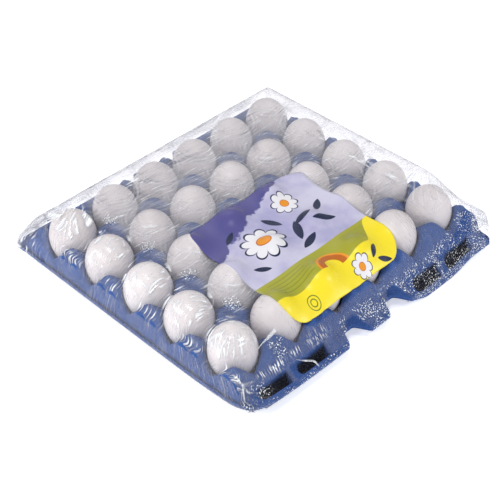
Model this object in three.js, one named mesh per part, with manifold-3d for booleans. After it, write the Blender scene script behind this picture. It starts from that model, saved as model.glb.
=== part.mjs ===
// Thirty eggs in a moulded pulp tray, wrapped together in clear shrink film with a printed label.
// Millimetres, +Z up. +X runs along the rows of six eggs, +Y along the columns of five.
// The origin is the middle of the ground that the wrapped tray covers.
import * as THREE from "three";
import Module from "manifold-3d";

// Driving dimensions of the tray.
const COLUMNS = 6;
const ROWS = 5;
const PITCH_X = 48; // from egg to egg along a row
const PITCH_Y = 50.7; // from row to row
const TRAY_HALF_X = 150;
const TRAY_HALF_Y = 152;
const CORNER_RADIUS = 9;
const PULP = 2.2; // wall of the moulded pulp, measured upright
const CUP_FLOOR = 2.6; // top of the floor that each cup stands on
const CUP_FLOOR_RADIUS = 9;
const CUP_RADIUS = 20; // where the cone of the cup turns into its upright collar
const CUP_CONE = 1.42; // rise of the cone for each millimetre outward
const COLLAR = 4; // rise of the collar for each millimetre outward
const POST_TOP = 40;
const POST_HALF = 6.5; // half width of the flat top of a post
const SADDLE = 25; // lowest point of the wall between two neighbouring eggs

// The flange: a narrow lip along the ±X sides, a broad sloping one along the ±Y sides. How far out
// something lies is counted from the outer posts.
const LIP_X = 15; // height of the narrow lip
const WALL_HALFWAY = 2.5; // how far out the wall above it is halfway down
const WALL_END = 4.5; // how far out that wall ends
const LIP_Y = 14; // height of the broad lip
const CREST_RUN = 3.5; // how far out the broad slope begins
const CREST_FALL = 0.3; // how much of a post's height above the saddles is lost by there
const SLOPE_RUN = 12; // how far out the broad slope ends
const SLOPE_FOOT = 18; // height at which it ends
const STEP = 1; // run of the step down from it, and rise of the ledge above the lip
const POCKET_FLOOR = 5; // height of the pockets below the slope
const POCKET_HALF = 19; // half width of a pocket
const POCKET_RUN = 18; // how far out a pocket ends
const LIP_RUN = 19.5; // how far out the level lip begins
const NOTCH = [[0, 11], [9, 9.35], [20, 1], [24, 0]]; // depth of a finger notch by distance from its middle
const EDGE_TURN = 1.5; // how much deeper the outer edge of the flange is than its wall
const FOOT_CUT = 0.5; // how far the flat feet of the cups stay clear of the space below the tray
const BEYOND = 5; // how far that space reaches past the tray
const HAIR = 0.1;

// Driving dimensions of the eggs.
const EGG_RADIUS = 20.5;
const EGG_HALF = 26.9;
const EGG_BLUNT = 0.06; // how much fuller the upper, blunt end is
const EGG_GAP = 0.9; // from the floor of the cup to the egg, which hangs on the cone
const EGG_SIDES = 12;
const EGG_BANDS = 6;
const EGG_TILT = THREE.MathUtils.degToRad(2.5);

// Driving dimensions of the film and the label.
const FILM = 0.5;
const FILM_TOP = 60.3;
const FILM_DIP = 2.2; // how far the film sinks between the eggs
const FILM_OUT = 1.2; // how far the film stands out from the tray's rim
const FILM_TUCK = 2.6; // how far it is tucked under the rim
const FILM_CORNER = 6; // radius of its corners in plan
const LABEL = 0.4;
const LABEL_DROP = 0.65; // from the film's inside to the label's upper face
const LABEL_LEFT = -73;
const LABEL_RIGHT = 61;
const LABEL_FAR = 12;
const LABEL_NEAR = -130;
const LABEL_ROUND = 18;

// How far the film's outside falls below its top, by distance from the middle: tight down the
// near sides, tented out over the far ones.
const NEAR_X = [[120, 0], [129, 2.2], [137, 9.5], [144, 17.2], [149, 36]];
const FAR_X = [[120, 0], [134, 1.2], [145, 7], [149, 36]];
const NEAR_Y = [[101.4, 0], [110.4, 2.2], [118.4, 8.5], [126.75, 17], [142, 33.5], [151, 43]];
const FAR_Y = [[101.4, 0], [114, 1.5], [126.75, 6], [142, 29], [151, 43]];

// The film below that, round the rim: how far out of the tray and above its lip.
const FILM_RINGS = [[FILM_OUT, 0.8], [FILM_OUT, -5.2], [-FILM_TUCK, -6.4]];

const HALF_X = (COLUMNS * PITCH_X) / 2;
const HALF_Y = (ROWS * PITCH_Y) / 2;
const FLANGE_X = TRAY_HALF_X - HALF_X;
const FLANGE_Y = TRAY_HALF_Y - HALF_Y;

const clamp = THREE.MathUtils.clamp;
const wasm = await Module();
wasm.setup();

// A straight line through [distance, height] points, level beyond both ends.
function along(points, d) {
  if (d <= points[0][0]) return points[0][1];
  for (let i = 1; i < points.length; i++) {
    const [d0, h0] = points[i - 1];
    const [d1, h1] = points[i];
    if (d <= d1) return h0 + ((h1 - h0) * (d - d0)) / (d1 - d0);
  }
  return points.at(-1)[1];
}

// Signed distance from v to the middle of its cell, of count cells a pitch wide about zero.
function fromCellMiddle(v, pitch, count) {
  const cell = clamp(Math.floor(v / pitch + count / 2), 0, count - 1);
  return v - (cell + 0.5 - count / 2) * pitch;
}

// The tray inside its outer row of walls: round cups between square posts joined by low saddles.
function cellTop(x, y) {
  const u = Math.abs(fromCellMiddle(x, PITCH_X, COLUMNS));
  const v = Math.abs(fromCellMiddle(y, PITCH_Y, ROWS));
  const out = Math.cbrt(u ** 3 + v ** 3);
  const cone = CUP_FLOOR + CUP_CONE * clamp(out - CUP_FLOOR_RADIUS, 0, CUP_RADIUS - CUP_FLOOR_RADIUS);
  const cup = cone + COLLAR * Math.max(0, out - CUP_RADIUS);
  const fromPost = Math.max(PITCH_X / 2 - u, PITCH_Y / 2 - v);
  const fall = (POST_TOP - SADDLE) / (PITCH_Y / 2 - POST_HALF);
  const land = Math.max(SADDLE, POST_TOP - fall * Math.max(0, fromPost - POST_HALF));
  return Math.min(cup, land);
}

// Whether the column of eggs at x has a finger notch beside it, and how far x is from its middle.
function flangeColumn(x) {
  const column = clamp(Math.floor(x / PITCH_X + COLUMNS / 2), 0, COLUMNS - 1);
  const notched = column === COLUMNS / 2 - 1 || column === COLUMNS / 2;
  return { notched, across: Math.abs(fromCellMiddle(x, PITCH_X, COLUMNS)) };
}

// How far a finger notch cuts into the broad flange at x.
function notchAt(x) {
  const { notched, across } = flangeColumn(x);
  return notched ? along(NOTCH, across) : 0;
}

// The top face of the tray at a nominal place.
function trayTop(x, y) {
  const crest = cellTop(clamp(x, -HALF_X, HALF_X), clamp(y, -HALF_Y, HALF_Y));
  const outX = Math.max(0, Math.abs(x) - HALF_X);
  const outY = Math.max(0, Math.abs(y) - HALF_Y);
  const narrow = along([[0, crest], [WALL_HALFWAY, (crest + LIP_X) / 2], [WALL_END, LIP_X]], outX);
  const { notched, across } = flangeColumn(x);
  const pocket = !notched && across < POCKET_HALF && Math.abs(x) < HALF_X;
  const low = pocket ? POCKET_FLOOR : LIP_Y + STEP;
  const broad = [
    [0, crest],
    [CREST_RUN, Math.max(SLOPE_FOOT, crest - CREST_FALL * Math.max(0, crest - SADDLE))],
    [SLOPE_RUN, SLOPE_FOOT],
    [SLOPE_RUN + STEP, low],
    [POCKET_RUN, low],
    [LIP_RUN, LIP_Y],
  ];
  return Math.min(narrow, along(broad, outY));
}

// Rounds the corners of a rectangle about the origin, from its half sizes and a point inside it.
function roundCorner(x, y, halfX, halfY, radius) {
  const a = Math.abs(x) - (halfX - radius);
  const b = Math.abs(y) - (halfY - radius);
  if (a <= 0 || b <= 0) return [x, y];
  const scale = Math.max(a, b) / Math.hypot(a, b);
  return [Math.sign(x) * (halfX - radius + a * scale), Math.sign(y) * (halfY - radius + b * scale)];
}

// Bends the square grid to the tray's outline: the corners are round and the notches cut in.
function planPoint(x, y) {
  const outY = Math.max(0, Math.abs(y) - HALF_Y);
  const inward = (outY / FLANGE_Y) * notchAt(x);
  return roundCorner(x, y - Math.sign(y) * inward, TRAY_HALF_X, TRAY_HALF_Y, CORNER_RADIUS);
}

// Grid lines: six steps across each cell, and more across the flange where it bends.
function gridLines(pitch, count, flange) {
  const half = (pitch * count) / 2;
  const lines = [];
  for (let cell = 0; cell < count; cell++) {
    const middle = (cell + 0.5) * pitch - half;
    for (const d of [-pitch / 2, -CUP_RADIUS, -CUP_FLOOR_RADIUS, 0, CUP_FLOOR_RADIUS, CUP_RADIUS])
      lines.push(middle + d);
  }
  lines.push(half);
  const outer = flange.map((d) => half + d);
  return [...outer.map((d) => -d).reverse(), ...lines, ...outer];
}

function geometryOf(points, triangles) {
  const geometry = new THREE.BufferGeometry();
  geometry.setAttribute("position", new THREE.Float32BufferAttribute(points.flat(), 3));
  geometry.setIndex(triangles.flat());
  return geometry;
}

// Two triangles for the square a, b, c, d, its diagonal from b to d where lean is positive.
function square(a, b, c, d, lean) {
  return lean > 0 ? [[a, b, d], [b, c, d]] : [[a, b, c], [a, c, d]];
}

// A solid between a grid of points and a level base. The diagonals circle each cup.
function blockOn(xs, ys, point, base) {
  const points = [];
  const triangles = [];
  const count = xs.length * ys.length;
  for (const x of xs) for (const y of ys) points.push(point(x, y));
  for (let k = 0; k < count; k++) points.push([points[k][0], points[k][1], base]);
  const at = (i, j) => i * ys.length + j;
  for (let i = 0; i + 1 < xs.length; i++)
    for (let j = 0; j + 1 < ys.length; j++) {
      const u = fromCellMiddle((xs[i] + xs[i + 1]) / 2, PITCH_X, COLUMNS);
      const v = fromCellMiddle((ys[j] + ys[j + 1]) / 2, PITCH_Y, ROWS);
      const top = square(at(i, j), at(i + 1, j), at(i + 1, j + 1), at(i, j + 1), u * v);
      triangles.push(...top, ...top.map(([p, q, r]) => [p + count, r + count, q + count]));
    }
  const edge = edgeOfGrid(xs.length, ys.length);
  edge.forEach((p, k) => {
    const q = edge[(k + 1) % edge.length];
    triangles.push([p, p + count, q + count], [p, q + count, q]);
  });
  return geometryOf(points, triangles);
}

function solidOf(geometry) {
  const { array } = geometry.getAttribute("position");
  const triVerts = new Uint32Array(geometry.index.array);
  return new wasm.Manifold(new wasm.Mesh({ numProp: 3, vertProperties: new Float32Array(array), triVerts }));
}

function geometryFromSolid(solid) {
  const mesh = solid.getMesh();
  const geometry = new THREE.BufferGeometry();
  geometry.setAttribute("position", new THREE.Float32BufferAttribute(mesh.vertProperties, 3));
  geometry.setIndex(new THREE.BufferAttribute(mesh.triVerts, 1));
  return geometry;
}

// The tray is the block under its top face, less the block under its bottom face.
function trayGeometry() {
  const bendsX = [WALL_HALFWAY, WALL_END, FLANGE_X];
  const bendsY = [CREST_RUN, SLOPE_RUN, SLOPE_RUN + STEP, POCKET_RUN, LIP_RUN, FLANGE_Y];
  const xs = gridLines(PITCH_X, COLUMNS, bendsX);
  const ys = gridLines(PITCH_Y, ROWS, bendsY);
  const above = blockOn(xs, ys, (x, y) => [...planPoint(x, y), trayTop(x, y)], 0);
  const farX = TRAY_HALF_X + BEYOND;
  const farY = TRAY_HALF_Y + BEYOND;
  const below = blockOn([-farX, ...xs, farX], [-farY, ...ys, farY], (x, y) => {
    const nx = clamp(x, -TRAY_HALF_X, TRAY_HALF_X);
    const ny = clamp(y, -TRAY_HALF_Y, TRAY_HALF_Y);
    const [px, py] = planPoint(nx, ny);
    const atEdge = Math.abs(x) > TRAY_HALF_X - HAIR || Math.abs(y) > TRAY_HALF_Y - HAIR;
    const wall = PULP + (atEdge ? EDGE_TURN : 0);
    const floor = Math.hypot(fromCellMiddle(nx, PITCH_X, COLUMNS), fromCellMiddle(ny, PITCH_Y, ROWS));
    const foot = floor < CUP_FLOOR_RADIUS + HAIR ? -FOOT_CUT : trayTop(nx, ny) - wall;
    return [px + (x - nx), py + (y - ny), foot];
  }, -BEYOND);
  return geometryFromSolid(solidOf(above).subtract(solidOf(below)));
}

// A seeded stream of numbers from 0 to 1.
function seeded(seed) {
  let state = seed;
  return () => {
    state = (state + 0x6d2b79f5) | 0;
    let t = Math.imul(state ^ (state >>> 15), 1 | state);
    t = (t + Math.imul(t ^ (t >>> 7), 61 | t)) ^ t;
    return ((t ^ (t >>> 14)) >>> 0) / 4294967296;
  };
}

// An egg about its own middle, blunt end up.
function eggGeometry(radius, half) {
  const profile = [];
  for (let k = 0; k <= EGG_BANDS; k++) {
    const t = Math.PI * (k / EGG_BANDS - 0.5);
    const r = k % EGG_BANDS ? radius * Math.cos(t) * (1 + EGG_BLUNT * Math.sin(t)) : 0;
    profile.push(new THREE.Vector2(r, half * Math.sin(t)));
  }
  return new THREE.LatheGeometry(profile, EGG_SIDES).rotateX(Math.PI / 2);
}

// Gives a surface of triangles a thickness on its inner side and closes it along its edges.
function thicken(points, triangles, thickness) {
  const surface = geometryOf(points, triangles);
  surface.computeVertexNormals();
  const normals = surface.getAttribute("normal");
  const count = points.length;
  const inner = points.map((p, k) => [
    p[0] - thickness * normals.getX(k),
    p[1] - thickness * normals.getY(k),
    p[2] - thickness * normals.getZ(k),
  ]);
  const edges = new Map();
  for (const t of triangles) t.forEach((a, k) => edges.set(`${a},${t[(k + 1) % 3]}`, [a, t[(k + 1) % 3]]));
  const faces = [...triangles, ...triangles.map(([a, b, c]) => [a + count, c + count, b + count])];
  for (const [a, b] of edges.values())
    if (!edges.has(`${b},${a}`)) faces.push([b, a, a + count], [b, a + count, b + count]);
  return geometryOf([...points, ...inner], faces);
}

// Lines that run along the middles of the cells and their walls, and down the two sides.
function filmLines(near, far, pitch, count) {
  const lines = near.map(([d]) => -d).reverse();
  for (let k = 2; k < 2 * count - 1; k++) lines.push(((k - count) * pitch) / 2);
  return [...lines, ...far.map(([d]) => d)];
}
const filmX = filmLines(NEAR_X, FAR_X, PITCH_X, COLUMNS);
const filmY = filmLines(NEAR_Y, FAR_Y, PITCH_Y, ROWS);

function filmTop(x, y) {
  const fallX = along(x < 0 ? NEAR_X : FAR_X, Math.abs(x));
  const fallY = along(y < 0 ? NEAR_Y : FAR_Y, Math.abs(y));
  const inside = Math.abs(x) < HALF_X - PITCH_X / 2 && Math.abs(y) < HALF_Y - PITCH_Y / 2;
  const u = Math.abs(fromCellMiddle(x, PITCH_X, COLUMNS)) / (PITCH_X / 2);
  const v = Math.abs(fromCellMiddle(y, PITCH_Y, ROWS)) / (PITCH_Y / 2);
  const dip = inside ? (FILM_DIP * (u + v)) / 2 : 0;
  return FILM_TOP - Math.max(fallX, fallY) - dip;
}

// The points of a grid and the triangles between them, with diagonals that run out to the corners.
function sheetOn(xs, ys, point) {
  const points = [];
  const triangles = [];
  for (const x of xs) for (const y of ys) points.push(point(x, y));
  const at = (i, j) => i * ys.length + j;
  for (let i = 0; i + 1 < xs.length; i++)
    for (let j = 0; j + 1 < ys.length; j++) {
      const lean = -(xs[i] + xs[i + 1]) * (ys[j] + ys[j + 1]);
      triangles.push(...square(at(i, j), at(i + 1, j), at(i + 1, j + 1), at(i, j + 1), lean));
    }
  return { points, triangles };
}

// The points round a grid of a by b points, anticlockwise.
function edgeOfGrid(a, b) {
  const edge = [];
  for (let i = 0; i + 1 < a; i++) edge.push(i * b);
  for (let j = 0; j + 1 < b; j++) edge.push((a - 1) * b + j);
  for (let i = a - 1; i > 0; i--) edge.push(i * b + b - 1);
  for (let j = b - 1; j > 0; j--) edge.push(j);
  return edge;
}

// The film is a sheet over the eggs that is drawn down round the rim and tucked in below it.
function filmGeometry() {
  const edgeX = FAR_X.at(-1)[0];
  const edgeY = FAR_Y.at(-1)[0];
  const { points, triangles } = sheetOn(filmX, filmY, (x, y) => [
    ...roundCorner(x, y, edgeX, edgeY, FILM_CORNER),
    filmTop(x, y),
  ]);
  let ring = edgeOfGrid(filmX.length, filmY.length);
  const start = ring.map((p) => points[p]);
  for (const [out, rise] of FILM_RINGS) {
    const next = start.map(([x, y]) => {
      const besideX = Math.abs(x) / edgeX >= Math.abs(y) / edgeY;
      const px = (x * (TRAY_HALF_X + out)) / edgeX;
      const py = (y * (TRAY_HALF_Y + out)) / edgeY;
      return points.push([px, py, (besideX ? LIP_X : LIP_Y) + rise]) - 1;
    });
    next.forEach((p, k) => {
      const n = (k + 1) % next.length;
      triangles.push([ring[k], p, next[n]], [ring[k], next[n], ring[n]]);
    });
    ring = next;
  }
  return thicken(points, triangles, FILM);
}

// The label lies under the film, over the middle of the pack and down its near side.
function labelGeometry() {
  const middle = (LABEL_LEFT + LABEL_RIGHT) / 2;
  const centre = (LABEL_NEAR + LABEL_FAR) / 2;
  const halfX = (LABEL_RIGHT - LABEL_LEFT) / 2;
  const halfY = (LABEL_FAR - LABEL_NEAR) / 2;
  const xs = [LABEL_LEFT, ...filmX.filter((x) => x > LABEL_LEFT && x < LABEL_RIGHT), LABEL_RIGHT];
  const ys = [LABEL_NEAR, ...filmY.filter((y) => y > LABEL_NEAR && y < LABEL_FAR), LABEL_FAR];
  const { points, triangles } = sheetOn(xs, ys, (x, y) => {
    const [dx, dy] = roundCorner(x - middle, y - centre, halfX, halfY, LABEL_ROUND);
    return [middle + dx, centre + dy, filmTop(middle + dx, centre + dy) - FILM - LABEL_DROP];
  });
  return thicken(points, triangles, LABEL);
}

const materials = {
  pulp: { color: 0x4468ad, roughness: 0.85 },
  shell: { color: 0xe9e1dd, roughness: 0.45 },
  print: { color: 0xb9b4d8, roughness: 0.35 },
  film: { color: 0xffffff, roughness: 0.08, transparent: true, opacity: 0.25 },
};

function addMesh(parent, name, geometry, look) {
  const mesh = new THREE.Mesh(geometry, new THREE.MeshStandardMaterial({ metalness: 0, ...look }));
  mesh.name = name;
  parent.add(mesh);
  return mesh;
}

const group = new THREE.Group();
addMesh(group, "tray", trayGeometry(), materials.pulp);

const eggs = new THREE.Group();
group.add(eggs);
const random = seeded(30);
for (let row = 0; row < ROWS; row++)
  for (let column = 0; column < COLUMNS; column++) {
    const size = 1 + 0.018 * (2 * random() - 1);
    const length = 1 + 0.018 * (2 * random() - 1);
    const half = EGG_HALF * length;
    const geometry = eggGeometry(EGG_RADIUS * size, half);
    const egg = addMesh(eggs, `egg_${row + 1}_${column + 1}`, geometry, materials.shell);
    egg.position.x = (column + 0.5 - COLUMNS / 2) * PITCH_X;
    egg.position.y = (ROWS / 2 - row - 0.5) * PITCH_Y;
    egg.position.z = CUP_FLOOR + EGG_GAP + half;
    egg.rotation.set(EGG_TILT * (2 * random() - 1), EGG_TILT * (2 * random() - 1), Math.PI * random());
  }

addMesh(group, "label", labelGeometry(), materials.print);
addMesh(group, "film", filmGeometry(), materials.film);

export default group;
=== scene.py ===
"""Thirty eggs in a blue pulp tray, wrapped in clear shrink film with a printed label.

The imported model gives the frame. Shapes are worked out in millimetres and go into the meshes in
metres. The sections follow the pack as it is put together: tray, eggs, label, film.
"""
import math

import bpy
import numpy as np
from mathutils import Matrix, Vector


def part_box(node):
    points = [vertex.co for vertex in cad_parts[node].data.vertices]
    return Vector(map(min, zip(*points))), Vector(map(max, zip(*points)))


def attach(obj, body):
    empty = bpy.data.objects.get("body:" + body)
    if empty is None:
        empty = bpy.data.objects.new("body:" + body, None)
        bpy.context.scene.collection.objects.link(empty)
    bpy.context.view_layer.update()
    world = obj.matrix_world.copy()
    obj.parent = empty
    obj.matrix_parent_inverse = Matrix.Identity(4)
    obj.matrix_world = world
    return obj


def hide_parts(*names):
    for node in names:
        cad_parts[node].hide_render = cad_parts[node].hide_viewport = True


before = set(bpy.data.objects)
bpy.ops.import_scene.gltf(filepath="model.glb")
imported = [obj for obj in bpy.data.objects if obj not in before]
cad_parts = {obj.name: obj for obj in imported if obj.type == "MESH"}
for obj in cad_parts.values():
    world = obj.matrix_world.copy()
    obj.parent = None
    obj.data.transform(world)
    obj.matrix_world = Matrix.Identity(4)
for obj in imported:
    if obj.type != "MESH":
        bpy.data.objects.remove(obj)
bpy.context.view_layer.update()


# ----------------------------------------
# The camera. A long lens looks down on the near corner of the pack, from the side of the narrow
# lip as much as from the side that the label hangs over, and leans a little to one side.
AZIMUTH, ELEVATION, LEAN = (math.radians(angle) for angle in (-42.826, 40.452, -2.357))
EYE = Vector((-0.5495, -0.5892, 0.6881))
LENS, SENSOR = 84.72, 36

aside = Vector((math.sin(AZIMUTH), -math.cos(AZIMUTH), 0))
back = math.cos(ELEVATION) * aside + Vector((0, 0, math.sin(ELEVATION)))
level = Vector((math.cos(AZIMUTH), math.sin(AZIMUTH), 0))
upward = back.cross(level)
right = math.cos(LEAN) * level + math.sin(LEAN) * upward
up = math.cos(LEAN) * upward - math.sin(LEAN) * level

lens = bpy.data.cameras.new("camera")
lens.lens = LENS
lens.sensor_width = SENSOR
lens.clip_start = 0.01
camera = bpy.data.objects.new("camera", lens)
camera.matrix_world = Matrix.Translation(EYE) @ Matrix((right, up, back)).transposed().to_4x4()
bpy.context.collection.objects.link(camera)
bpy.context.scene.camera = camera


# ----------------------------------------
# The studio. White paper lies under the pack and runs out of view, inside a bright tent with
# soft lamps round the pack: two on the left, one high above it, two behind it and one low in
# front on the right.
PAPER = 3.0  # half its width in metres
PAPER_WHITE, PAPER_ROUGH, PAPER_GLOW = (0.93, 0.935, 0.95, 1), 0.9, 0.60
TENT_WHITE, TENT_STRENGTH = (0.96, 0.98, 1.0, 1), 0.56
LAMPS = [  # place as seen from the pack, size and power in watts
    ((-0.95, 0.08, 0.72), 0.40, 5.0),
    ((-0.80, 0.67, 0.54), 0.22, 1.0),
    ((-0.30, -0.25, 1.15), 0.30, 3.0),
    ((0.52, 0.72, 0.80), 0.50, 0.45),
    ((0.45, 1.15, 1.00), 0.85, 1.2),
    ((0.72, -0.95, 0.66), 0.25, 4.0),
]

paper_mesh = bpy.data.meshes.new("paper")
paper_mesh.from_pydata(
    [(-PAPER, -PAPER, 0), (PAPER, -PAPER, 0), (PAPER, PAPER, 0), (-PAPER, PAPER, 0)], [], [(0, 1, 2, 3)]
)
paper = bpy.data.objects.new("paper", paper_mesh)
bpy.context.collection.objects.link(paper)
paper_finish = bpy.data.materials.new("white_paper")
paper_finish.use_nodes = True
paper_sockets = paper_finish.node_tree.nodes["Principled BSDF"].inputs
paper_sockets["Base Color"].default_value = paper_sockets["Emission Color"].default_value = PAPER_WHITE
paper_sockets["Roughness"].default_value = PAPER_ROUGH
paper_sockets["Emission Strength"].default_value = PAPER_GLOW
paper_mesh.materials.append(paper_finish)

tent = bpy.data.worlds.new("tent")
tent.use_nodes = True
tent_sockets = tent.node_tree.nodes["Background"].inputs
tent_sockets["Color"].default_value = TENT_WHITE
tent_sockets["Strength"].default_value = TENT_STRENGTH
bpy.context.scene.world = tent
bpy.context.scene.view_settings.view_transform = "Standard"

for number, (spot, size, power) in enumerate(LAMPS):
    lamp = bpy.data.lights.new(f"lamp_{number}", "AREA")
    lamp.size = size
    lamp.energy = power
    lamp_object = bpy.data.objects.new(f"lamp_{number}", lamp)
    lamp_object.location = spot
    lamp_object.rotation_euler = Vector(spot).to_track_quat("Z", "Y").to_euler()
    bpy.context.collection.objects.link(lamp_object)


# ----------------------------------------
# The tray: one sheet of blue moulded pulp with thirty cups, flat-topped posts between them and a
# flange round it. The mould has no undercuts, so each face of the sheet is a height over the
# plan. Two sides end in a narrow lip, the other two in a broad slope with pockets and two
# finger notches.
MM = 0.001
COLUMNS, ROWS = 6, 5
PITCH_X, PITCH_Y = 48.0, 50.7
HALF_X, HALF_Y = COLUMNS * PITCH_X / 2, ROWS * PITCH_Y / 2
EDGE_X, EDGE_Y, POST_TOP = np.array(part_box("tray")[1]) / MM
CORNER_RADIUS = 7
PULP, PULP_LEAST, RIM_TURN = 2.2, 0.8, 1.5
CELL_STEP, RIM_STEP_X, RIM_STEP_Y = 1.6, 0.4, 1.1
CUP_FLOOR, CUP_FLOOR_RADIUS, CUP_RADIUS = 2.6, 9, 20.6
BOWL_RISE, BOWL_POWER, CUP_WALL = 16, 1.25, 14
SADDLE, POST_SHARE, POST_ROUND = 24.5, 0.62, 3
DIMPLE_DEPTH, DIMPLE_HALF = 3, 4.4
RING_RISE, RING_OUT, RING_HALF = 0.9, 7, 1.8
LIP_X, LIP_Y = 15, 14
GROOVE_DEPTH, GROOVE_OUT, GROOVE_HALF = 3.6, 4.5, 0.55
SLOPE_FOOT, SLOPE_RUN, LEDGE_END = 17.5, 12, 18.0
POCKET_FLOOR = 3.2
POCKET_MIDDLES, POCKET_HALF = (71, 113.5), 16
NOTCH_MIDDLE, NOTCH_HALF, NOTCH_DEPTH = 25, 15, 14.5
SIDE_FALL_X, SIDE_FALL_Y = 5.5, 3.0
DIP_FALL_X, DIP_FALL_Y = 5.0, 3.5
CORNER_LIFT, LIFT_REACH = 5.0, 42
CORNER_CRUSH, CRUSH_REACH = 4.5, 13
DROOP, DROOP_FROM, DROOP_TO = 9.0, 34, 134
END_FULLNESS, END_BULGE, END_SAG = 2.0, 1.6, 3.0
WAIST, WAIST_Y, WAIST_HALF = 1.8, -138, 5.5
PULP_DEEP, PULP_PALE = (0.019, 0.055, 0.212, 1), (0.058, 0.130, 0.360, 1)
PULP_IN_SHADE = (0.003, 0.006, 0.017, 1)


def from_middle(place, pitch, count):
    """Signed distance to the middle of the nearest of count cells that lie a pitch apart about zero."""
    cell = np.clip(np.floor(place / pitch + count / 2), 0, count - 1)
    return place - (cell + 0.5 - count / 2) * pitch


def in_cell(x, y):
    """Signed distances to the middle of the nearest cell of the tray, across and along."""
    return from_middle(x, PITCH_X, COLUMNS), from_middle(y, PITCH_Y, ROWS)


def bell(off, width):
    """1 where off is 0, falling away on both sides: e to the power of -(off / width) squared."""
    return np.exp(-((off / width) ** 2))


def round_bell(x, y, width):
    """The same round a point: x and y are measured from it."""
    return np.exp(-((x**2 + y**2) / width**2))


def ease(t):
    """Runs from 0 to 1 as t does, level at both ends: three t squared less two t cubed."""
    t = np.clip(t, 0, 1)
    return t * t * (3 - 2 * t)


def lesser(a, b, radius):
    """The lesser of two heights, their corner rounded off over a radius."""
    share = np.clip(0.5 + (b - a) / (2 * radius), 0, 1)
    return b * (1 - share) + a * share - radius * share * (1 - share)


def cell_height(x, y):
    """Cups and posts: the lesser of a round cup and a land that climbs from saddles to posts.

    The cup is a level floor, a bowl that rises with the distance from its floor's edge to the
    power 1.25, and an almost upright wall. The land rises in a straight line from each saddle to
    the level top of the post, which has a dimple with a raised ring round it."""
    u, v = (np.abs(off) for off in in_cell(x, y))
    out = np.hypot(u, v)
    bowl = np.clip((out - CUP_FLOOR_RADIUS) / (CUP_RADIUS - CUP_FLOOR_RADIUS), 0, 1) ** BOWL_POWER
    cup = CUP_FLOOR + BOWL_RISE * bowl + CUP_WALL * np.maximum(0, out - CUP_RADIUS)
    rise = np.minimum(u / (PITCH_X / 2), v / (PITCH_Y / 2)) / POST_SHARE
    post = POST_TOP - 0.5
    land = lesser(SADDLE + (post - SADDLE) * rise, post + 0 * rise, POST_ROUND)
    from_post = np.hypot(PITCH_X / 2 - u, PITCH_Y / 2 - v)
    dimple = RING_RISE * bell(from_post - RING_OUT, RING_HALF) - DIMPLE_DEPTH * bell(from_post, DIMPLE_HALF)
    return lesser(cup, land + dimple, 2)


def notch_depth(x):
    """How far the two finger notches cut into the broad flange."""
    return NOTCH_DEPTH * ease((NOTCH_HALF - np.abs(np.abs(x) - NOTCH_MIDDLE)) / 11)


def pocket_share(x):
    """1 over the pockets of the broad flange and 0 between them."""
    nearest = np.min([np.abs(np.abs(x) - middle) for middle in POCKET_MIDDLES], axis=0)
    return ease((POCKET_HALF + 1 - nearest) / 2.4)


def corner_lift(x, y):
    """The film's pull bends the near corner up: a bell round the corner, over the flange alone."""
    flange = ease((np.maximum(np.abs(x) - HALF_X + 8, np.abs(y) - HALF_Y + 8)) / 14)
    return CORNER_LIFT * round_bell(x + EDGE_X, y + EDGE_Y, LIFT_REACH) * flange


def droop(x, y):
    """The near rim of the broad flange sags between a notch and the end, and a little at the end."""
    along = ease((x - DROOP_FROM) / 30) * ease((DROOP_TO - x) / 45)
    return (DROOP * along + END_SAG * ease((x - 112) / 25)) * ease((-y - HALF_Y - 9) / 13)


def tray_height(x, y):
    """The upper face: the cells, carried out over the edge and down to the lips.

    The edge of the cells falls away a little. On two sides a short wall, with a groove at its
    foot, drops to the narrow lip. On the other two a slope runs out to its foot, drops to a ledge
    or a pocket, and the ledge ends in the rim. The lower of the two is the face."""
    crest = cell_height(np.clip(x, -HALF_X, HALF_X), np.clip(y, -HALF_Y, HALF_Y))
    out_x = np.maximum(0, np.abs(x) - HALF_X)
    out_y = np.maximum(0, np.abs(y) - HALF_Y)
    above = np.clip((crest - SADDLE) / (POST_TOP - SADDLE), 0, 1)
    by_x, by_y = ease((np.abs(x) - HALF_X + 9) / 9), ease((np.abs(y) - HALF_Y + 9) / 9)
    crest = crest - above * np.maximum(SIDE_FALL_X * by_x, SIDE_FALL_Y * by_y)
    crest = crest - (1 - above) * np.maximum(DIP_FALL_X * by_x, DIP_FALL_Y * by_y)
    bulge = END_BULGE * (x > 0) * bell(y + 131, 8) * ease(out_x) * ease((4.4 - out_x) / 2.4)
    wall = crest + (LIP_X - crest) * ease((out_x - bulge - 0.4) / 4.0)
    groove = GROOVE_DEPTH * bell(out_x - GROOVE_OUT, GROOVE_HALF)
    fuller = 1 + END_FULLNESS * ease((x - 118) / 18)
    slope = crest + (SLOPE_FOOT - crest) * np.clip((out_y - 1.0) / (SLOPE_RUN - 1.0), 0, 1) ** fuller
    ledge = LIP_Y + (POCKET_FLOOR - LIP_Y) * pocket_share(x)
    step = slope + (ledge - slope) * ease((out_y - SLOPE_RUN) / 1.4)
    broad = step + (LIP_Y - step) * ease((out_y - LEDGE_END) / 1.8)
    return np.minimum(wall - groove * (out_x > 0), broad) + corner_lift(x, y) - droop(x, y)


def bent_corner(x, y):
    """Draws the near corner in a little, as the film's pull has crushed it round."""
    pull = CORNER_CRUSH * round_bell(x + EDGE_X, y + EDGE_Y, CRUSH_REACH)
    return x + pull, y + pull


def round_corner(x, y, half_x, half_y, radius):
    """Pulls the points in the corners of a rectangle in to its rounded corners."""
    a, b = np.abs(x) - (half_x - radius), np.abs(y) - (half_y - radius)
    corner = (a > 0) & (b > 0)
    scale = np.where(corner, np.maximum(a, b) / np.maximum(np.hypot(a, b), 1e-9), 1)
    x = np.where(corner, np.sign(x) * (half_x - radius + a * scale), x)
    return x, np.where(corner, np.sign(y) * (half_y - radius + b * scale), y)


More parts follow.
